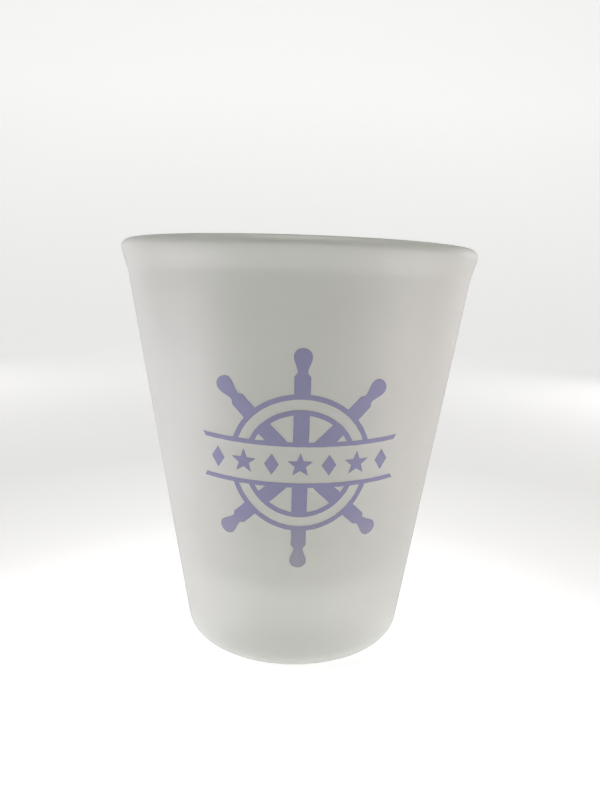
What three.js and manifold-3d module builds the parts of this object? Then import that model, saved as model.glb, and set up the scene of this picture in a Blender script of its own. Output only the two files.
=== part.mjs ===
// Souvenir shot glass: a tapered tumbler of frosted pressed glass with a heavy base,
// and a ship's wheel with an ornament band screen printed on its front.
//
// Millimetres, +Z up. The origin is the middle of the foot ring, on the plane that the
// glass stands on. The print faces -Y.

import * as THREE from 'three';
import { mergeVertices } from 'three/addons/utils/BufferGeometryUtils.js';
import Module from 'manifold-3d';

const wasm = await Module();
wasm.setup();

// ---------------------------------------------------------------- driving dimensions

// Outside of the glass. Its side is a straight cone, given where it would cross the
// floor plane and the rim plane if its corner, bead and lip weren't there.
const HEIGHT = 60;
const CONE_RADIUS_AT_FLOOR = 16.9;
const CONE_RADIUS_AT_RIM = 25.1;
const BASE_CORNER_RADIUS = 3.5;

// The fire-polished lip is a half ellipse that stands a little proud of the cone, as a
// soft bead.
const LIP_HALF_THICKNESS = 1.25;
const LIP_HALF_HEIGHT = 1.1;
const BEAD_HEIGHT = 3;
const BEAD_STANDS_PROUD = 0.35;

// Underside: a shallow dome pushed up inside the foot ring.
const FOOT_RING_INNER_RADIUS = 11;
const PUSH_UP_DEPTH = 0.9;

// Inside of the glass. The wall thickens from the lip down to the solid base.
const INNER_FLOOR_HEIGHT = 11.5;
const INNER_CONE_RADIUS_AT_INNER_FLOOR = 14.6;
const INNER_CORNER_RADIUS = 4;

// Print, measured on the cone's surface laid out flat. The wheel's centre is this far
// up the side from the floor plane.
const WHEEL_CENTRE_UP_THE_SIDE = 32.95;
const FELLOE_OUTER_RADIUS = 9.35;
const FELLOE_INNER_RADIUS = 6.7;
const FELLOE_LINE_WIDTH = 0.65;
const SPOKE_WIDTH = 2;
const SPOKE_COUNT = 8;

// Handles: a straight post, a narrow neck, and a grip that swells to a round end.
const POST_WIDTH = 2;
const POST_END_RADIUS = 11.5;
const NECK_WIDTH = 1.25;
const NECK_END_RADIUS = 12;
const GRIP_WIDTH = 2.25;
const GRIP_WIDEST_RADIUS = 14;
const HANDLE_TIP_RADIUS = 15;

// The plain band across the wheel, between two lines with slanted ends.
const BAND_HALF_HEIGHT = 2.5;
const BAND_LINE_WIDTH = 0.6;
const BAND_HALF_LENGTH = 13.35;
const BAND_END_SLANT = 0.4;

// Stars and lozenges in turn along the band.
const ORNAMENT_COUNT = 7;
const ORNAMENT_PITCH = 3.7;
const STAR_OUTER_RADIUS = 1.7;
const STAR_INNER_RADIUS = 0.72;
const LOZENGE_HALF_HEIGHT = 1.45;
const LOZENGE_HALF_WIDTH = 0.95;

// The ink is a thin film that lies just off the glass.
const INK_THICKNESS = 0.15;
const INK_GAP = 0.05;

// Facets
const ROUND_SEGMENTS = 72;
const OUTLINE_STEP = 1;
const RING_POINTS = 72;

// ---------------------------------------------------------------- derived dimensions

const CONE_SLOPE = (CONE_RADIUS_AT_RIM - CONE_RADIUS_AT_FLOOR) / HEIGHT;
const CONE_ANGLE = Math.atan(CONE_SLOPE);
const APEX_TO_FLOOR = CONE_RADIUS_AT_FLOOR / Math.sin(CONE_ANGLE);

const coneRadius = (z) => CONE_RADIUS_AT_FLOOR + CONE_SLOPE * z;

// ---------------------------------------------------------------- materials

const frostedGlass = () => new THREE.MeshStandardMaterial({
  color: 0xc6c7c1,
  roughness: 0.6,
  metalness: 0,
});

const printedInk = () => new THREE.MeshStandardMaterial({
  color: 0x7b7896,
  roughness: 0.65,
  metalness: 0,
});

// ---------------------------------------------------------------- glass

// Points of an arc round (r, z), from one angle to another, both ends included.
function arc(r, z, radius, from, to, steps) {
  return Array.from({ length: steps + 1 }, (_, i) => {
    const angle = from + ((to - from) * i) / steps;
    return new THREE.Vector2(r + radius * Math.cos(angle), z + radius * Math.sin(angle));
  });
}

// The underside rises from the foot ring to the axis in a cosine dome.
function undersideProfile(steps) {
  return Array.from({ length: steps + 1 }, (_, i) => {
    const t = i / steps;
    const z = (PUSH_UP_DEPTH * (1 + Math.cos(Math.PI * t))) / 2;
    return new THREE.Vector2(FOOT_RING_INNER_RADIUS * t, z);
  });
}

function baseCornerProfile(steps) {
  const inset = (BASE_CORNER_RADIUS * (1 - Math.sin(CONE_ANGLE))) / Math.cos(CONE_ANGLE);
  const centre = CONE_RADIUS_AT_FLOOR - inset;
  return arc(centre, BASE_CORNER_RADIUS, BASE_CORNER_RADIUS, -Math.PI / 2, -CONE_ANGLE, steps);
}

// The lip's ellipse starts and ends where its slope is that of the wall's two faces.
const LIP_START_ANGLE = -Math.atan((CONE_SLOPE * LIP_HALF_HEIGHT) / LIP_HALF_THICKNESS);
const LIP_CENTRE_HEIGHT = HEIGHT - LIP_HALF_HEIGHT;
const BEAD_TOP = LIP_CENTRE_HEIGHT + LIP_HALF_HEIGHT * Math.sin(LIP_START_ANGLE);
const LIP_CENTRE_RADIUS = coneRadius(BEAD_TOP) + BEAD_STANDS_PROUD
  - LIP_HALF_THICKNESS * Math.cos(LIP_START_ANGLE);
const INNER_SLOPE = (LIP_CENTRE_RADIUS - LIP_HALF_THICKNESS - INNER_CONE_RADIUS_AT_INNER_FLOOR)
  / (LIP_CENTRE_HEIGHT - INNER_FLOOR_HEIGHT);
const INNER_ANGLE = Math.atan(INNER_SLOPE);
const LIP_END_ANGLE = Math.PI - Math.atan((INNER_SLOPE * LIP_HALF_HEIGHT) / LIP_HALF_THICKNESS);

// The side swells from the cone to the bead in a smooth step, up to the lip's ellipse.
function beadProfile(steps) {
  return Array.from({ length: steps }, (_, i) => {
    const t = i / steps;
    const z = BEAD_TOP - BEAD_HEIGHT * (1 - t);
    return new THREE.Vector2(coneRadius(z) + BEAD_STANDS_PROUD * t * t * (3 - 2 * t), z);
  });
}

function lipProfile(steps) {
  return Array.from({ length: steps + 1 }, (_, i) => {
    const angle = LIP_START_ANGLE + ((LIP_END_ANGLE - LIP_START_ANGLE) * i) / steps;
    return new THREE.Vector2(
      LIP_CENTRE_RADIUS + LIP_HALF_THICKNESS * Math.cos(angle),
      LIP_CENTRE_HEIGHT + LIP_HALF_HEIGHT * Math.sin(angle),
    );
  });
}

// The inner corner is tangent to the inner cone and to the inner floor.
function innerCornerProfile(steps) {
  const inset = (INNER_CORNER_RADIUS * (1 - Math.sin(INNER_ANGLE))) / Math.cos(INNER_ANGLE);
  const centre = INNER_CONE_RADIUS_AT_INNER_FLOOR - inset;
  const height = INNER_FLOOR_HEIGHT + INNER_CORNER_RADIUS;
  return arc(centre, height, INNER_CORNER_RADIUS, -INNER_ANGLE, -Math.PI / 2, steps);
}

// Turns a profile of (radius, height) about +Z.
function turned(profile) {
  const geometry = new THREE.LatheGeometry(profile, ROUND_SEGMENTS);
  geometry.rotateX(Math.PI / 2);
  return geometry;
}

function glassBody() {
  return turned([
    ...undersideProfile(4),
    ...baseCornerProfile(5),
    ...beadProfile(4),
    ...lipProfile(9),
    ...innerCornerProfile(5),
    new THREE.Vector2(0, INNER_FLOOR_HEIGHT),
  ]);
}

// ---------------------------------------------------------------- solids for booleans

function toSolid(geometry) {
  const bare = geometry.clone();
  bare.deleteAttribute('normal');
  bare.deleteAttribute('uv');
  const merged = mergeVertices(bare, 1e-5);
  return new wasm.Manifold(new wasm.Mesh({
    numProp: 3,
    vertProperties: new Float32Array(merged.attributes.position.array),
    triVerts: new Uint32Array(merged.index.array),
  }));
}

function toGeometry(solid) {
  const mesh = solid.getMesh();
  const geometry = new THREE.BufferGeometry();
  geometry.setAttribute('position', new THREE.BufferAttribute(mesh.vertProperties, 3));
  geometry.setIndex(new THREE.BufferAttribute(mesh.triVerts, 1));
  geometry.computeVertexNormals();
  return geometry;
}

const joined = (solids) => solids.reduce((all, solid) => all.add(solid));

// ---------------------------------------------------------------- print

// A point of the flat artwork, wrapped on the cone and seen from the front. The flat
// artwork is the cone's side rolled out: u goes round it, v goes up it, and both are
// zero at the wheel's centre.
function wrapped(u, v) {
  const up = APEX_TO_FLOOR + WHEEL_CENTRE_UP_THE_SIDE + v;
  const fromApex = Math.hypot(u, up);
  const turn = Math.atan2(u, up) / Math.sin(CONE_ANGLE);
  const radius = fromApex * Math.sin(CONE_ANGLE);
  const height = (fromApex - APEX_TO_FLOOR) * Math.cos(CONE_ANGLE);
  return new THREE.Vector2(radius * Math.sin(turn), height);
}

// Splits an outline's long edges, so that they bend with the cone.
function subdivided(outline) {
  return outline.flatMap(([u, v], i) => {
    const [nextU, nextV] = outline[(i + 1) % outline.length];
    const pieces = Math.ceil(Math.hypot(nextU - u, nextV - v) / OUTLINE_STEP);
    return Array.from({ length: pieces }, (_, k) => [
      u + ((nextU - u) * k) / pieces,
      v + ((nextV - v) * k) / pieces,
    ]);
  });
}

// The solid that a flat outline sweeps from the axis out through the glass's front.
function stamp(outline, holes = []) {
  const shape = new THREE.Shape(subdivided(outline).map(([u, v]) => wrapped(u, v)));
  shape.holes = holes.map((hole) => (
    new THREE.Path(subdivided(hole).map(([u, v]) => wrapped(u, v)))
  ));
  const depth = CONE_RADIUS_AT_RIM + 1;
  const geometry = new THREE.ExtrudeGeometry(shape, { depth, bevelEnabled: false });
  geometry.rotateX(Math.PI / 2);
  return toSolid(geometry);
}

// The layer over the glass's outside that holds all the ink, faceted as the glass is.
function inkLayer() {
  const low = WHEEL_CENTRE_UP_THE_SIDE - HANDLE_TIP_RADIUS - 2;
  const high = WHEEL_CENTRE_UP_THE_SIDE + HANDLE_TIP_RADIUS + 2;
  const inside = INK_GAP;
  const outside = INK_GAP + INK_THICKNESS;
  const profile = [
    new THREE.Vector2(coneRadius(low) + inside, low),
    new THREE.Vector2(coneRadius(low) + outside, low),
    new THREE.Vector2(coneRadius(high) + outside, high),
    new THREE.Vector2(coneRadius(high) + inside, high),
    new THREE.Vector2(coneRadius(low) + inside, low),
  ];
  return toSolid(turned(profile));
}

const circle = (radius) => Array.from({ length: RING_POINTS }, (_, i) => {
  const angle = (2 * Math.PI * i) / RING_POINTS;
  return [radius * Math.cos(angle), radius * Math.sin(angle)];
});

const ring = (outerRadius, width) => stamp(circle(outerRadius), [circle(outerRadius - width)]);

// Places an outline drawn along +U, such as a spoke, at an angle about the wheel's centre.
const spun = (outline, angle) => outline.map(([u, v]) => [
  u * Math.cos(angle) - v * Math.sin(angle),
  u * Math.sin(angle) + v * Math.cos(angle),
]);

function spokeOutline() {
  const end = FELLOE_INNER_RADIUS + FELLOE_LINE_WIDTH / 2;
  const half = SPOKE_WIDTH / 2;
  return [[0, -half], [end, -half], [end, half], [0, half]];
}

// One side of a handle as (distance from the wheel's centre, half width), post to tip.
function handleSide() {
  const side = [[FELLOE_OUTER_RADIUS - FELLOE_LINE_WIDTH / 2, POST_WIDTH / 2]];
  side.push([POST_END_RADIUS, POST_WIDTH / 2]);
  const swellSteps = 5;
  for (let i = 0; i <= swellSteps; i += 1) {
    const t = i / swellSteps;
    const swell = (1 - Math.cos(Math.PI * t)) / 2;
    const out = NECK_END_RADIUS + (GRIP_WIDEST_RADIUS - NECK_END_RADIUS) * t;
    side.push([out, (NECK_WIDTH + (GRIP_WIDTH - NECK_WIDTH) * swell) / 2]);
  }
  const endSteps = 5;
  for (let i = 1; i <= endSteps; i += 1) {
    const angle = ((Math.PI / 2) * i) / (endSteps + 1);
    const out = GRIP_WIDEST_RADIUS + (HANDLE_TIP_RADIUS - GRIP_WIDEST_RADIUS) * Math.sin(angle);
    side.push([out, (GRIP_WIDTH / 2) * Math.cos(angle)]);
  }
  return side;
}

function handleOutline() {
  const side = handleSide();
  const otherSide = side.map(([u, v]) => [u, -v]);
  return [...otherSide, [HANDLE_TIP_RADIUS, 0], ...side.reverse()];
}

// The whole wheel, as if no band crossed it.
function wholeWheel() {
  const pieces = [
    ring(FELLOE_OUTER_RADIUS, FELLOE_LINE_WIDTH),
    ring(FELLOE_INNER_RADIUS + FELLOE_LINE_WIDTH, FELLOE_LINE_WIDTH),
  ];
  for (let i = 0; i < SPOKE_COUNT; i += 1) {
    const angle = (2 * Math.PI * i) / SPOKE_COUNT;
    pieces.push(stamp(spun(spokeOutline(), angle)), stamp(spun(handleOutline(), angle)));
  }
  return joined(pieces);
}

// One line of the band; side is 1 for the upper one and -1 for the lower one.
function bandLine(side) {
  const near = side * BAND_HALF_HEIGHT;
  const far = side * (BAND_HALF_HEIGHT + BAND_LINE_WIDTH);
  const short = BAND_HALF_LENGTH - BAND_END_SLANT;
  const outline = [[-short, near], [short, near], [BAND_HALF_LENGTH, far], [-BAND_HALF_LENGTH, far]];
  return stamp(side > 0 ? outline : outline.reverse());
}

// Everything on one side of the band: half of the wheel and the band's line.
function wheelHalf(side) {
  const near = side * (BAND_HALF_HEIGHT + BAND_LINE_WIDTH / 2);
  const far = side * (HANDLE_TIP_RADIUS + 1);
  const reach = HANDLE_TIP_RADIUS;
  const outline = [[-reach, near], [reach, near], [reach, far], [-reach, far]];
  const beyondBand = stamp(side > 0 ? outline : outline.reverse());
  return wholeWheel().intersect(beyondBand).add(bandLine(side));
}

function starOutline(centre) {
  return Array.from({ length: 10 }, (_, i) => {
    const radius = i % 2 === 0 ? STAR_OUTER_RADIUS : STAR_INNER_RADIUS;
    const angle = Math.PI / 2 + (Math.PI * i) / 5;
    return [centre + radius * Math.cos(angle), radius * Math.sin(angle)];
  });
}

function lozengeOutline(centre) {
  return [
    [centre + LOZENGE_HALF_WIDTH, 0],
    [centre, LOZENGE_HALF_HEIGHT],
    [centre - LOZENGE_HALF_WIDTH, 0],
    [centre, -LOZENGE_HALF_HEIGHT],
  ];
}

// ---------------------------------------------------------------- assembly

const shotGlass = new THREE.Group();

function addMesh(name, geometry, material) {
  const mesh = new THREE.Mesh(geometry, material);
  mesh.name = name;
  shotGlass.add(mesh);
}

addMesh('glass_body', glassBody(), frostedGlass());

const layer = inkLayer();
const addPrint = (name, solid) => addMesh(name, toGeometry(solid.intersect(layer)), printedInk());

addPrint('print_wheel_upper', wheelHalf(1));
addPrint('print_wheel_lower', wheelHalf(-1));

for (let i = 0; i < ORNAMENT_COUNT; i += 1) {
  const centre = (i - (ORNAMENT_COUNT - 1) / 2) * ORNAMENT_PITCH;
  const isStar = i % 2 === 1;
  const outline = isStar ? starOutline(centre) : lozengeOutline(centre);
  const name = `print_${isStar ? 'star' : 'lozenge'}_${Math.floor(i / 2) + 1}`;
  addPrint(name, stamp(outline));
}

export default shotGlass;
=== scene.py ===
"""Looks of the frosted souvenir shot glass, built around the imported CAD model.

The camera and the studio come first, then the glass, then the print on its front.
Lengths in the constants are millimetres, which mm() turns into metres. Only the studio's
are metres to begin with.
"""

import math

import bpy
from mathutils import Matrix, Vector, noise
from mathutils.geometry import delaunay_2d_cdt


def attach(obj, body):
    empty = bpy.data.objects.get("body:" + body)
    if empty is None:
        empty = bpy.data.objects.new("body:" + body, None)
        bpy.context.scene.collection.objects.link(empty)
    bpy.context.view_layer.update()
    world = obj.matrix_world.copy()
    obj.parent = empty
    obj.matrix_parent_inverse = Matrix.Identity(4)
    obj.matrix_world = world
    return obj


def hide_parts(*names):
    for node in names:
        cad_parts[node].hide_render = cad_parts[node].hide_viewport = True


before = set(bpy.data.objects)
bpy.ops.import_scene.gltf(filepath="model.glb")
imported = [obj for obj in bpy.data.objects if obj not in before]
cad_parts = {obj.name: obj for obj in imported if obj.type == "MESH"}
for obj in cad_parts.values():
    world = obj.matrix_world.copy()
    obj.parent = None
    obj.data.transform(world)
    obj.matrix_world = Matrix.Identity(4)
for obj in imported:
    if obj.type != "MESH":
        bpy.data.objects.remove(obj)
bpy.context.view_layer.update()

# ------------------------------------------------------------------ dimensions

# Camera: its place round the glass, its height, how it is turned, and its lens.
CAMERA_DISTANCE = 105.03
CAMERA_HEIGHT = 54.48
CAMERA_AZIMUTH = math.radians(1.44)
CAMERA_HEADING = math.radians(3.24)
CAMERA_PITCH = math.radians(17.06)
CAMERA_ROLL = math.radians(1.83)
CAMERA_LENS = 30.53
CAMERA_SENSOR_HEIGHT = 36
CAMERA_SHIFT = (-0.0198, 0.1187)
CAMERA_NEAREST = 5

# Outside of the glass, as a cone carried down to the floor and up to the rim plane.
HEIGHT = 60
CONE_RADIUS_AT_FLOOR = 16.9
CONE_RADIUS_AT_RIM = 25.1
BASE_CORNER_RADIUS = 3.5
FOOT_RING_INNER_RADIUS = 11
PUSH_UP_DEPTH = 0.9

# Fire-polished lip: a half ellipse, with a bead below it that swells out to meet it.
LIP_HALF_THICKNESS = 1.25
LIP_HALF_HEIGHT = 1.1
BEAD_HEIGHT = 3
BEAD_STANDS_PROUD = 0.35

# Inside of the glass.
INNER_FLOOR_HEIGHT = 11.5
INNER_CONE_RADIUS_AT_INNER_FLOOR = 14.6
INNER_CORNER_RADIUS = 4

# The pressed surface isn't perfectly round: it wanders by this much, in slow waves.
WAVE_DEPTH = 0.03
WAVES_AROUND = 1.6
WAVE_HEIGHT = 16

# Steps of the glass's profile and of its turn about the axis.
LATHE_SEGMENTS = 240
UNDERSIDE_STEPS = 24
FOOT_STEPS = 4
CORNER_STEPS = 16
WALL_STEPS = 48
BEAD_STEPS = 16
LIP_STEPS = 32
INNER_FLOOR_STEPS = 12

CONE_SLOPE = (CONE_RADIUS_AT_RIM - CONE_RADIUS_AT_FLOOR) / HEIGHT
CONE_ANGLE = math.atan(CONE_SLOPE)
APEX_TO_FLOOR = CONE_RADIUS_AT_FLOOR / math.sin(CONE_ANGLE)

# Print, measured on the cone's side rolled out flat, from the wheel's centre.
WHEEL_CENTRE_UP_THE_SIDE = 32.95
FELLOE_OUTER_RADIUS = 9.35
FELLOE_INNER_RADIUS = 6.7
FELLOE_LINE_WIDTH = 0.65
SPOKE_WIDTH = 2
SPOKE_COUNT = 8
POST_WIDTH = 2
POST_END_RADIUS = 11.5
NECK_WIDTH = 1.25
NECK_END_RADIUS = 12
GRIP_WIDTH = 2.25
GRIP_WIDEST_RADIUS = 14
HANDLE_TIP_RADIUS = 15
HANDLE_GRIP_STEPS = 10
BAND_HALF_HEIGHT = 2.5
BAND_LINE_WIDTH = 0.6
BAND_HALF_LENGTH = 13.35
BAND_END_SLANT = 0.4
ORNAMENT_COUNT = 7
ORNAMENT_PITCH = 3.7
STAR_POINTS = 5
STAR_OUTER_RADIUS = 1.7
STAR_INNER_RADIUS = 0.72
LOZENGE_HALF_HEIGHT = 1.45
LOZENGE_HALF_WIDTH = 0.95
ARTWORK_HALF_WIDTH = HANDLE_TIP_RADIUS + 1

# The ink is a film that stands just clear of the glass.
INK_GAP = 0.015
INK_THICKNESS = 0.03

# Screen printing leaves the edges of the ink a little uneven.
EDGE_STEP = 0.35
EDGE_WANDER = 0.035
EDGE_WAVES_PER_MM = 1.3
EDGE_NOISE_SLICE_ACROSS = 4.7
EDGE_NOISE_SLICE_UP = 9.2

# Spacing of the points inside the ink, which let it follow the curved glass.
FILL_STEP = 0.8

# What the triangulation makes, and the distance at which it joins points.
ALL_TRIANGLES = 0
JOINING_DISTANCE = 1e-6

# ------------------------------------------------------------------ looks

# Studio, in metres. The sweep is a floor that curves up into a wall behind the glass.
SWEEP_FRONT = -1.2
SWEEP_BACK = 0.45
SWEEP_CURVE = 0.25
SWEEP_CURVE_STEPS = 24
SWEEP_TOP = 0.42
SWEEP_HALF_WIDTH = 1.6
SWEEP_COLOUR = (0.7, 0.7, 0.7, 1)
SWEEP_ROUGHNESS = 0.9
SWEEP_SPECULAR = 0.1

# The sweep glows a little: pairs of distance from the glass's foot and strength.
GLOW_STOPS = [
    (0, 0.7),
    (0.06, 0.36),
    (0.12, 0.27),
    (0.2, 0.31),
    (0.3, 0.41),
    (0.4, 0.47),
    (0.75, 0.6),
]

# What the world gives as light, and what the camera sees past the sweep.
WORLD_LIGHT = (0.04, 0.04, 0.033, 1)
WORLD_SEEN = (0.9, 0.9, 0.9, 1)

# Lights: name, place, the point it faces, width and height in metres, watts, colour.
SOFTBOXES = [
    ("top", (0, 0, 0.6), (0, 0, 0), (0.3, 0.3), 1.8, (1, 1, 0.96)),
    ("front", (0, -0.35, 0.04), (0, 0, 0), (0.2, 0.06), 0.17, (1, 1, 0.9)),
    ("left_back", (-0.3, 0.22, 0.12), (0, 0, 0.03), (0.2, 0.2), 0.23, (1, 0.97, 0.99)),
    ("left_low", (-0.065, -0.03, 0.03), (0, 0, 0.03), (0.025, 0.015), 0.0175, (1, 0.91, 1)),
    ("right_back", (0.3, 0.22, 0.12), (0, 0, 0.03), (0.2, 0.2), 0.3, (1, 0.96, 0.98)),
    ("right_low", (0.065, -0.04, 0.034), (0, 0, 0.03), (0.025, 0.025), 0.0165, (1, 0.87, 0.92)),
]

# Glass: two tints that mingle, and the roughness of each face.
GLASS_DARK = (0.71, 0.725, 0.69, 1)
GLASS_LIGHT = (0.78, 0.795, 0.76, 1)
GLASS_TRANSMISSION = 0.42
GLASS_IOR = 1.5
FROST_OUTSIDE = 0.55
FROST_LIP = 0.5
FROST_INSIDE = 0.45
FROST_MOTTLE = 0.03

# Ink: two tints that mingle, and a painted-light tint, lighter and greyer, that takes over lower
# down between two heights.
INK_DARK = (0.22, 0.22, 0.36, 1)
INK_LIGHT = (0.26, 0.26, 0.41, 1)
INK_PAINTED_LIGHT = (0.32, 0.315, 0.36, 1)
PAINTED_LIGHT_STARTS_AT = 26
PAINTED_LIGHT_FULL_AT = 17
INK_ROUGHNESS = (0.55, 0.75)

# Most of a noise texture's values lie between these two.
NOISE_LOW = 0.3
NOISE_HIGH = 0.7


def mm(value):
    return value / 1000


def cone_radius(z):
    return CONE_RADIUS_AT_FLOOR + CONE_SLOPE * z


def wave(angle, z):
    """How far the glass's surface stands off its true radius, in millimetres."""
    around = (WAVES_AROUND * math.cos(angle), WAVES_AROUND * math.sin(angle))
    return WAVE_DEPTH * noise.noise(Vector((*around, z / WAVE_HEIGHT)))


def arc(across, up, radius, start, end, steps):
    """Points of an arc, from one angle to the other, both ends included."""
    points = []
    for i in range(steps + 1):
        angle = start + (end - start) * i / steps
        points.append((across + radius * math.cos(angle), up + radius * math.sin(angle)))
    return points


# ------------------------------------------------------------------ scene helpers


def new_object(name, data):
    made = bpy.data.objects.new(name, data)
    bpy.context.scene.collection.objects.link(made)
    return made


def new_material(name):
    """A material, with its node tree and its shader."""
    material = bpy.data.materials.new(name)
    material.use_nodes = True
    tree = material.node_tree
    return material, tree, tree.nodes["Principled BSDF"]


def noise_node(tree, coords, scale, detail):
    node = tree.nodes.new("ShaderNodeTexNoise")
    node.inputs["Scale"].default_value = scale
    node.inputs["Detail"].default_value = detail
    tree.links.new(coords.outputs["Object"], node.inputs["Vector"])
    return node.outputs["Fac"]


def map_range(tree, source, low, high, to_low, to_high):
    """A socket whose value runs from to_low to to_high as the source goes low to high."""
    node = tree.nodes.new("ShaderNodeMapRange")
    node.inputs["From Min"].default_value = low
    node.inputs["From Max"].default_value = high
    node.inputs["To Min"].default_value = to_low
    node.inputs["To Max"].default_value = to_high
    tree.links.new(source, node.inputs["Value"])
    return node.outputs["Result"]


def mixed(tree, factor, a, b):
    """A socket with a mix of two colours, each given as a colour or as a socket."""
    node = tree.nodes.new("ShaderNodeMix")
    node.data_type = "RGBA"
    tree.links.new(factor, node.inputs["Factor"])
    for name, source in (("A", a), ("B", b)):
        if isinstance(source, tuple):
            node.inputs[name].default_value = source
        else:
            tree.links.new(source, node.inputs[name])
    return node.outputs["Result"]


def add_bump(tree, shader, height, strength, depth):
    bump = tree.nodes.new("ShaderNodeBump")
    bump.inputs["Strength"].default_value = strength
    bump.inputs["Distance"].default_value = depth
    tree.links.new(height, bump.inputs["Height"])
    tree.links.new(bump.outputs["Normal"], shader.inputs["Normal"])


# ------------------------------------------------------------------ camera


def add_camera():
    data = bpy.data.cameras.new("camera")
    data.sensor_fit = "VERTICAL"
    data.sensor_height = CAMERA_SENSOR_HEIGHT
    data.lens = CAMERA_LENS
    data.shift_x, data.shift_y = CAMERA_SHIFT
    data.clip_start = mm(CAMERA_NEAREST)
    camera = new_object("camera", data)
    forward = Vector((
        math.sin(CAMERA_HEADING) * math.cos(CAMERA_PITCH),
        math.cos(CAMERA_HEADING) * math.cos(CAMERA_PITCH),
        -math.sin(CAMERA_PITCH),
    ))
    level = Vector((math.cos(CAMERA_HEADING), -math.sin(CAMERA_HEADING), 0))
    upright = level.cross(forward)
    right = level * math.cos(CAMERA_ROLL) + upright * math.sin(CAMERA_ROLL)
    up = upright * math.cos(CAMERA_ROLL) - level * math.sin(CAMERA_ROLL)
    place = Matrix((right, up, -forward)).transposed().to_4x4()
    place.translation = Vector((
        -mm(CAMERA_DISTANCE) * math.sin(CAMERA_AZIMUTH),
        -mm(CAMERA_DISTANCE) * math.cos(CAMERA_AZIMUTH),
        mm(CAMERA_HEIGHT),
    ))
    camera.matrix_world = place
    bpy.context.scene.camera = camera


# ------------------------------------------------------------------ studio


def add_world():
    """A dim world behind the lights, which the camera sees as a pale one."""
    world = bpy.data.worlds.new("studio")
    world.use_nodes = True
    tree = world.node_tree
    path = tree.nodes.new("ShaderNodeLightPath")
    colour = mixed(tree, path.outputs["Is Camera Ray"], WORLD_LIGHT, WORLD_SEEN)
    tree.links.new(colour, tree.nodes["Background"].inputs["Color"])
    bpy.context.scene.world = world


def use_plain_colours():
    """Shows colours as they are, so that the pale floor stays pale."""
    bpy.context.scene.view_settings.view_transform = "Standard"


def sweep_mesh():
    line = [(SWEEP_FRONT, 0)]
    line += arc(SWEEP_BACK, SWEEP_CURVE, SWEEP_CURVE, -math.pi / 2, 0, SWEEP_CURVE_STEPS)
    line.append((SWEEP_BACK + SWEEP_CURVE, SWEEP_TOP))
    vertices = [(x, y, z) for y, z in line for x in (-SWEEP_HALF_WIDTH, SWEEP_HALF_WIDTH)]
    faces = [(2 * i, 2 * i + 1, 2 * i + 3, 2 * i + 2) for i in range(len(line) - 1)]
    mesh = bpy.data.meshes.new("sweep")
    mesh.from_pydata(vertices, [], faces)
    mesh.shade_smooth()
    return mesh


def sweep_material():
    """A matt pale paper that glows by its distance from the glass's foot."""
    material, tree, shader = new_material("sweep")
    shader.inputs["Base Color"].default_value = SWEEP_COLOUR
    shader.inputs["Roughness"].default_value = SWEEP_ROUGHNESS
    shader.inputs["Specular IOR Level"].default_value = SWEEP_SPECULAR
    shader.inputs["Emission Color"].default_value = (1, 1, 1, 1)
    coords = tree.nodes.new("ShaderNodeTexCoord")
    away = tree.nodes.new("ShaderNodeVectorMath")
    away.operation = "LENGTH"
    tree.links.new(coords.outputs["Object"], away.inputs[0])
    glow = tree.nodes.new("ShaderNodeValToRGB")
    stops = glow.color_ramp.elements
    stops[0].position, stops[1].position = GLOW_STOPS[0][0], GLOW_STOPS[-1][0]
    for distance, _ in GLOW_STOPS[1:-1]:
        stops.new(distance)
    for stop, (_, strength) in zip(stops, GLOW_STOPS):
        stop.color = (strength, strength, strength, 1)
    tree.links.new(away.outputs["Value"], glow.inputs["Fac"])
    tree.links.new(glow.outputs["Color"], shader.inputs["Emission Strength"])
    return material


def add_sweep():
    mesh = sweep_mesh()
    mesh.materials.append(sweep_material())
    new_object("sweep", mesh)


def add_softbox(name, place, target, size, watts, colour):
    data = bpy.data.lights.new(name, "AREA")
    data.shape = "RECTANGLE"
    data.size, data.size_y = size
    data.energy = watts
    data.color = colour
    light = new_object(name, data)
    aim = Vector(target) - Vector(place)
    light.rotation_euler = aim.to_track_quat("-Z", "Y").to_euler()
    light.location = place


# ------------------------------------------------------------------ glass


def straight(start, end, steps):
    """Points between two others, both left out."""
    (r0, z0), (r1, z1) = start, end
    return [(r0 + (r1 - r0) * i / steps, z0 + (z1 - z0) * i / steps) for i in range(1, steps)]


def underside_profile(steps):
    points = []
    for i in range(steps + 1):
        t = i / steps
        points.append((FOOT_RING_INNER_RADIUS * t, PUSH_UP_DEPTH * (1 + math.cos(math.pi * t)) / 2))
    return points


def base_corner_profile(steps):
    inset = BASE_CORNER_RADIUS * (1 - math.sin(CONE_ANGLE)) / math.cos(CONE_ANGLE)
    centre = CONE_RADIUS_AT_FLOOR - inset
    return arc(centre, BASE_CORNER_RADIUS, BASE_CORNER_RADIUS, -math.pi / 2, -CONE_ANGLE, steps)


# The lip's ellipse starts and ends where its slope is that of the wall's two faces.
LIP_START_ANGLE = -math.atan(CONE_SLOPE * LIP_HALF_HEIGHT / LIP_HALF_THICKNESS)
LIP_CENTRE_HEIGHT = HEIGHT - LIP_HALF_HEIGHT
BEAD_TOP = LIP_CENTRE_HEIGHT + LIP_HALF_HEIGHT * math.sin(LIP_START_ANGLE)
BEAD_TOP_RADIUS = cone_radius(BEAD_TOP) + BEAD_STANDS_PROUD
LIP_CENTRE_RADIUS = BEAD_TOP_RADIUS - LIP_HALF_THICKNESS * math.cos(LIP_START_ANGLE)
INNER_RISE = LIP_CENTRE_HEIGHT - INNER_FLOOR_HEIGHT
INNER_SPREAD = LIP_CENTRE_RADIUS - LIP_HALF_THICKNESS - INNER_CONE_RADIUS_AT_INNER_FLOOR
INNER_ANGLE = math.atan(INNER_SPREAD / INNER_RISE)
INNER_LEAN = math.tan(INNER_ANGLE) * LIP_HALF_HEIGHT / LIP_HALF_THICKNESS
LIP_END_ANGLE = math.pi - math.atan(INNER_LEAN)


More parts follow.
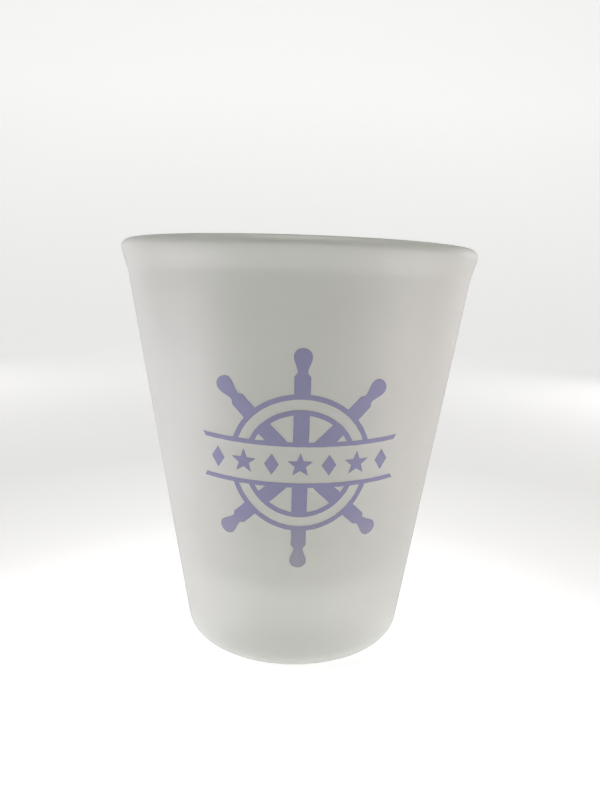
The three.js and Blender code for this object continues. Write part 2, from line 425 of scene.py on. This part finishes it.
def bead_profile(steps):
    points = []
    for i in range(steps):
        t = i / steps
        z = BEAD_TOP - BEAD_HEIGHT * (1 - t)
        points.append((cone_radius(z) + BEAD_STANDS_PROUD * t * t * (3 - 2 * t), z))
    return points


def lip_profile(steps):
    points = []
    for i in range(steps + 1):
        angle = LIP_START_ANGLE + (LIP_END_ANGLE - LIP_START_ANGLE) * i / steps
        r = LIP_CENTRE_RADIUS + LIP_HALF_THICKNESS * math.cos(angle)
        points.append((r, LIP_CENTRE_HEIGHT + LIP_HALF_HEIGHT * math.sin(angle)))
    return points


def inner_corner_profile(steps):
    inset = INNER_CORNER_RADIUS * (1 - math.sin(INNER_ANGLE)) / math.cos(INNER_ANGLE)
    centre = INNER_CONE_RADIUS_AT_INNER_FLOOR - inset
    height = INNER_FLOOR_HEIGHT + INNER_CORNER_RADIUS
    return arc(centre, height, INNER_CORNER_RADIUS, -INNER_ANGLE, -math.pi / 2, steps)


def glass_profile():
    """Points (radius, height, frost) from the underside's middle to the inner floor's."""
    underside = underside_profile(UNDERSIDE_STEPS)
    corner = base_corner_profile(CORNER_STEPS)
    bead = bead_profile(BEAD_STEPS)
    lip = lip_profile(LIP_STEPS)
    inner = inner_corner_profile(CORNER_STEPS)
    outside = underside + straight(underside[-1], corner[0], FOOT_STEPS) + corner
    outside += straight(corner[-1], bead[0], WALL_STEPS) + bead
    inside = straight(lip[-1], inner[0], WALL_STEPS) + inner
    inside += straight(inner[-1], (0, INNER_FLOOR_HEIGHT), INNER_FLOOR_STEPS)
    inside.append((0, INNER_FLOOR_HEIGHT))
    points = [(r, z, FROST_OUTSIDE) for r, z in outside]
    points += [(r, z, FROST_LIP) for r, z in lip]
    points += [(r, z, FROST_INSIDE) for r, z in inside]
    return points


def lathe_mesh(name, profile, segments):
    """Turns a profile that starts and ends on the axis about +Z, as a closed body."""
    between = profile[1:-1]
    vertices = [(0, 0, mm(profile[0][1])), (0, 0, mm(profile[-1][1]))]
    frost = [profile[0][2], profile[-1][2]]
    for r, z, frosting in between:
        for k in range(segments):
            angle = 2 * math.pi * k / segments
            reach = mm(r + wave(angle, z))
            vertices.append((reach * math.cos(angle), reach * math.sin(angle), mm(z)))
            frost.append(frosting)
    faces = []
    last = 2 + (len(between) - 1) * segments
    for k in range(segments):
        after = (k + 1) % segments
        faces.append((0, 2 + after, 2 + k))
        for i in range(len(between) - 1):
            low, high = 2 + i * segments, 2 + (i + 1) * segments
            faces.append((low + k, low + after, high + after, high + k))
        faces.append((last + k, last + after, 1))
    mesh = bpy.data.meshes.new(name)
    mesh.from_pydata(vertices, [], faces)
    mesh.shade_smooth()
    mesh.attributes.new("frost", "FLOAT", "POINT").data.foreach_set("value", frost)
    return mesh


def frosted_glass_material():
    material, tree, shader = new_material("frosted_glass")
    coords = tree.nodes.new("ShaderNodeTexCoord")
    cloud = noise_node(tree, coords, scale=90, detail=3)
    tint = mixed(tree, cloud, GLASS_DARK, GLASS_LIGHT)
    tree.links.new(tint, shader.inputs["Base Color"])
    frost = tree.nodes.new("ShaderNodeAttribute")
    frost.attribute_name = "frost"
    spots = noise_node(tree, coords, scale=600, detail=4)
    mottle = map_range(tree, spots, NOISE_LOW, NOISE_HIGH, -FROST_MOTTLE, FROST_MOTTLE)
    rough = tree.nodes.new("ShaderNodeMath")
    rough.operation = "ADD"
    tree.links.new(frost.outputs["Fac"], rough.inputs[0])
    tree.links.new(mottle, rough.inputs[1])
    tree.links.new(rough.outputs["Value"], shader.inputs["Roughness"])
    grain = noise_node(tree, coords, scale=5000, detail=2)
    add_bump(tree, shader, grain, strength=0.25, depth=mm(0.03))
    shader.inputs["Transmission Weight"].default_value = GLASS_TRANSMISSION
    shader.inputs["IOR"].default_value = GLASS_IOR
    return material


def add_glass():
    mesh = lathe_mesh("glass", glass_profile(), LATHE_SEGMENTS)
    mesh.materials.append(frosted_glass_material())
    glass = new_object("glass", mesh)
    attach(glass, "root")
    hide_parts("glass_body")


# ------------------------------------------------------------------ print


def circle(radius):
    count = math.ceil(2 * math.pi * radius / EDGE_STEP)
    angles = [2 * math.pi * i / count for i in range(count)]
    return [(radius * math.cos(angle), radius * math.sin(angle)) for angle in angles]


def spun(outline, angle):
    """Turns an outline drawn along +U, such as a spoke, about the wheel's centre."""
    cos, sin = math.cos(angle), math.sin(angle)
    return [(u * cos - v * sin, u * sin + v * cos) for u, v in outline]


def spoke_outline():
    end = FELLOE_INNER_RADIUS + FELLOE_LINE_WIDTH / 2
    half = SPOKE_WIDTH / 2
    return [(0, -half), (end, -half), (end, half), (0, half)]


def handle_outline():
    """A straight post, a narrow neck, and a grip that swells to a round end."""
    side = [(FELLOE_OUTER_RADIUS - FELLOE_LINE_WIDTH / 2, POST_WIDTH / 2)]
    side.append((POST_END_RADIUS, POST_WIDTH / 2))
    for i in range(HANDLE_GRIP_STEPS + 1):
        t = i / HANDLE_GRIP_STEPS
        swell = (1 - math.cos(math.pi * t)) / 2
        out = NECK_END_RADIUS + (GRIP_WIDEST_RADIUS - NECK_END_RADIUS) * t
        side.append((out, (NECK_WIDTH + (GRIP_WIDTH - NECK_WIDTH) * swell) / 2))
    for i in range(1, HANDLE_GRIP_STEPS):
        angle = math.pi / 2 * i / HANDLE_GRIP_STEPS
        out = GRIP_WIDEST_RADIUS + (HANDLE_TIP_RADIUS - GRIP_WIDEST_RADIUS) * math.sin(angle)
        side.append((out, GRIP_WIDTH / 2 * math.cos(angle)))
    other_side = [(u, -v) for u, v in side]
    return other_side + [(HANDLE_TIP_RADIUS, 0)] + side[::-1]


def trapezium(side, near, near_half_length, far, far_half_length):
    """Anticlockwise outline above the band if side is 1, and below it if side is -1."""
    return [
        (-side * near_half_length, side * near),
        (side * near_half_length, side * near),
        (side * far_half_length, side * far),
        (-side * far_half_length, side * far),
    ]


def star_outline(centre):
    points = []
    for i in range(2 * STAR_POINTS):
        radius = STAR_INNER_RADIUS if i % 2 else STAR_OUTER_RADIUS
        angle = math.pi / 2 + math.pi * i / STAR_POINTS
        points.append((centre + radius * math.cos(angle), radius * math.sin(angle)))
    return points


def lozenge_outline(centre):
    return [
        (centre + LOZENGE_HALF_WIDTH, 0),
        (centre, LOZENGE_HALF_HEIGHT),
        (centre - LOZENGE_HALF_WIDTH, 0),
        (centre, -LOZENGE_HALF_HEIGHT),
    ]


def wheel_half(side):
    """Outlines of one side of the band, and which of them hold ink where they overlap."""
    line_outside = BAND_HALF_HEIGHT + BAND_LINE_WIDTH
    line_middle = BAND_HALF_HEIGHT + BAND_LINE_WIDTH / 2
    short = BAND_HALF_LENGTH - BAND_END_SLANT
    far = ARTWORK_HALF_WIDTH
    outlines = {
        "beyond_band": trapezium(side, line_middle, far, far, far),
        "band_line": trapezium(side, BAND_HALF_HEIGHT, short, line_outside, BAND_HALF_LENGTH),
        "outer_ring": circle(FELLOE_OUTER_RADIUS),
        "outer_ring_hole": circle(FELLOE_OUTER_RADIUS - FELLOE_LINE_WIDTH),
        "inner_ring": circle(FELLOE_INNER_RADIUS + FELLOE_LINE_WIDTH),
        "inner_ring_hole": circle(FELLOE_INNER_RADIUS),
    }
    arms = []
    for i in range(SPOKE_COUNT):
        angle = 2 * math.pi * i / SPOKE_COUNT
        outlines[f"spoke_{i}"] = spun(spoke_outline(), angle)
        outlines[f"handle_{i}"] = spun(handle_outline(), angle)
        arms += [f"spoke_{i}", f"handle_{i}"]

    def inked(names):
        if "band_line" in names:
            return True
        if "beyond_band" not in names:
            return False
        if not names.isdisjoint(arms):
            return True
        on_outer_ring = "outer_ring" in names and "outer_ring_hole" not in names
        on_inner_ring = "inner_ring" in names and "inner_ring_hole" not in names
        return on_outer_ring or on_inner_ring

    return outlines, inked


def filled(names):
    """Ink fills a lone outline, wherever it reaches."""
    return bool(names)


def subdivided(outline):
    """The outline with points no further apart than the edge step."""
    points = []
    for i, (u, v) in enumerate(outline):
        next_u, next_v = outline[(i + 1) % len(outline)]
        pieces = math.ceil(math.hypot(next_u - u, next_v - v) / EDGE_STEP)
        for k in range(pieces):
            points.append(Vector((u + (next_u - u) * k / pieces, v + (next_v - v) * k / pieces)))
    return points


def ink_triangles(outlines, inked):
    """Flat points and triangles of the ink: the places that inked() accepts."""
    points, faces = [], []
    for outline in outlines.values():
        around = subdivided(outline)
        faces.append(list(range(len(points), len(points) + len(around))))
        points += around
    count = math.ceil(ARTWORK_HALF_WIDTH / FILL_STEP)
    grid = [i * FILL_STEP for i in range(-count, count + 1)]
    points += [Vector((u, v)) for u in grid for v in grid]
    names = list(outlines)
    flat, _, triangles, _, _, origins = delaunay_2d_cdt(
        points, [], faces, ALL_TRIANGLES, JOINING_DISTANCE
    )
    kept = [
        triangle
        for triangle, origin in zip(triangles, origins)
        if inked({names[i] for i in origin})
    ]
    return flat, kept


def on_glass(point, stand_off):
    """A flat point of the artwork, laid on the glass's front."""
    u, v = point
    up = APEX_TO_FLOOR + WHEEL_CENTRE_UP_THE_SIDE + v
    from_apex = math.hypot(u, up)
    turn = math.atan2(u, up) / math.sin(CONE_ANGLE)
    height = (from_apex - APEX_TO_FLOOR) * math.cos(CONE_ANGLE)
    angle = turn - math.pi / 2
    reach = from_apex * math.sin(CONE_ANGLE) + wave(angle, height) + stand_off
    return (mm(reach * math.cos(angle)), mm(reach * math.sin(angle)), mm(height))


def shaken(point):
    """A point of the artwork, moved as the ink's uneven edge wanders."""
    u, v = EDGE_WAVES_PER_MM * point
    across = noise.noise(Vector((u, v, EDGE_NOISE_SLICE_ACROSS)))
    up = noise.noise(Vector((u, v, EDGE_NOISE_SLICE_UP)))
    return point + EDGE_WANDER * Vector((across, up))


def film_mesh(name, outlines, inked):
    """The ink as a closed film: its two faces, and a side wall along its edges."""
    flat, triangles = ink_triangles(outlines, inked)
    used = sorted({i for triangle in triangles for i in triangle})
    place = {old: new for new, old in enumerate(used)}
    spots = [shaken(flat[i]) for i in used]
    count = len(used)
    vertices = [on_glass(point, INK_GAP) for point in spots]
    vertices += [on_glass(point, INK_GAP + INK_THICKNESS) for point in spots]
    faces = []
    sides = set()
    for triangle in triangles:
        a, b, c = (place[i] for i in triangle)
        faces += [(a, c, b), (count + a, count + b, count + c)]
        sides |= {(a, b), (b, c), (c, a)}
    for a, b in sorted(sides):
        if (b, a) not in sides:
            faces.append((a, b, count + b, count + a))
    mesh = bpy.data.meshes.new(name)
    mesh.from_pydata(vertices, [], faces)
    return mesh


def printed_ink_material():
    material, tree, shader = new_material("printed_ink")
    coords = tree.nodes.new("ShaderNodeTexCoord")
    cloud = noise_node(tree, coords, scale=350, detail=4)
    tint = mixed(tree, cloud, INK_DARK, INK_LIGHT)
    place = tree.nodes.new("ShaderNodeSeparateXYZ")
    tree.links.new(coords.outputs["Object"], place.inputs["Vector"])
    # Painted light: the ink turns lighter and greyer towards the bottom, where more light falls
    # from below.
    painted_light = map_range(tree, place.outputs["Z"], mm(PAINTED_LIGHT_FULL_AT), mm(PAINTED_LIGHT_STARTS_AT), 1, 0)
    tree.links.new(mixed(tree, painted_light, tint, INK_PAINTED_LIGHT), shader.inputs["Base Color"])
    grain = noise_node(tree, coords, scale=4000, detail=3)
    rough = map_range(tree, grain, NOISE_LOW, NOISE_HIGH, *INK_ROUGHNESS)
    tree.links.new(rough, shader.inputs["Roughness"])
    add_bump(tree, shader, grain, strength=0.3, depth=mm(0.02))
    return material


def add_print(node, material, outlines, inked):
    mesh = film_mesh(node + "_film", outlines, inked)
    mesh.materials.append(material)
    film = new_object(node + "_film", mesh)
    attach(film, "root")
    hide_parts(node)


def add_prints():
    """Both halves of the wheel, and the row of ornaments in the band."""
    ink = printed_ink_material()
    add_print("print_wheel_upper", ink, *wheel_half(1))
    add_print("print_wheel_lower", ink, *wheel_half(-1))
    for i in range(ORNAMENT_COUNT):
        centre = (i - (ORNAMENT_COUNT - 1) / 2) * ORNAMENT_PITCH
        shape = "star" if i % 2 else "lozenge"
        outline = star_outline(centre) if i % 2 else lozenge_outline(centre)
        add_print(f"print_{shape}_{i // 2 + 1}", ink, {shape: outline}, filled)


# ------------------------------------------------------------------ scene

add_camera()
add_world()
use_plain_colours()
add_sweep()
for softbox in SOFTBOXES:
    add_softbox(*softbox)
add_glass()
add_prints()
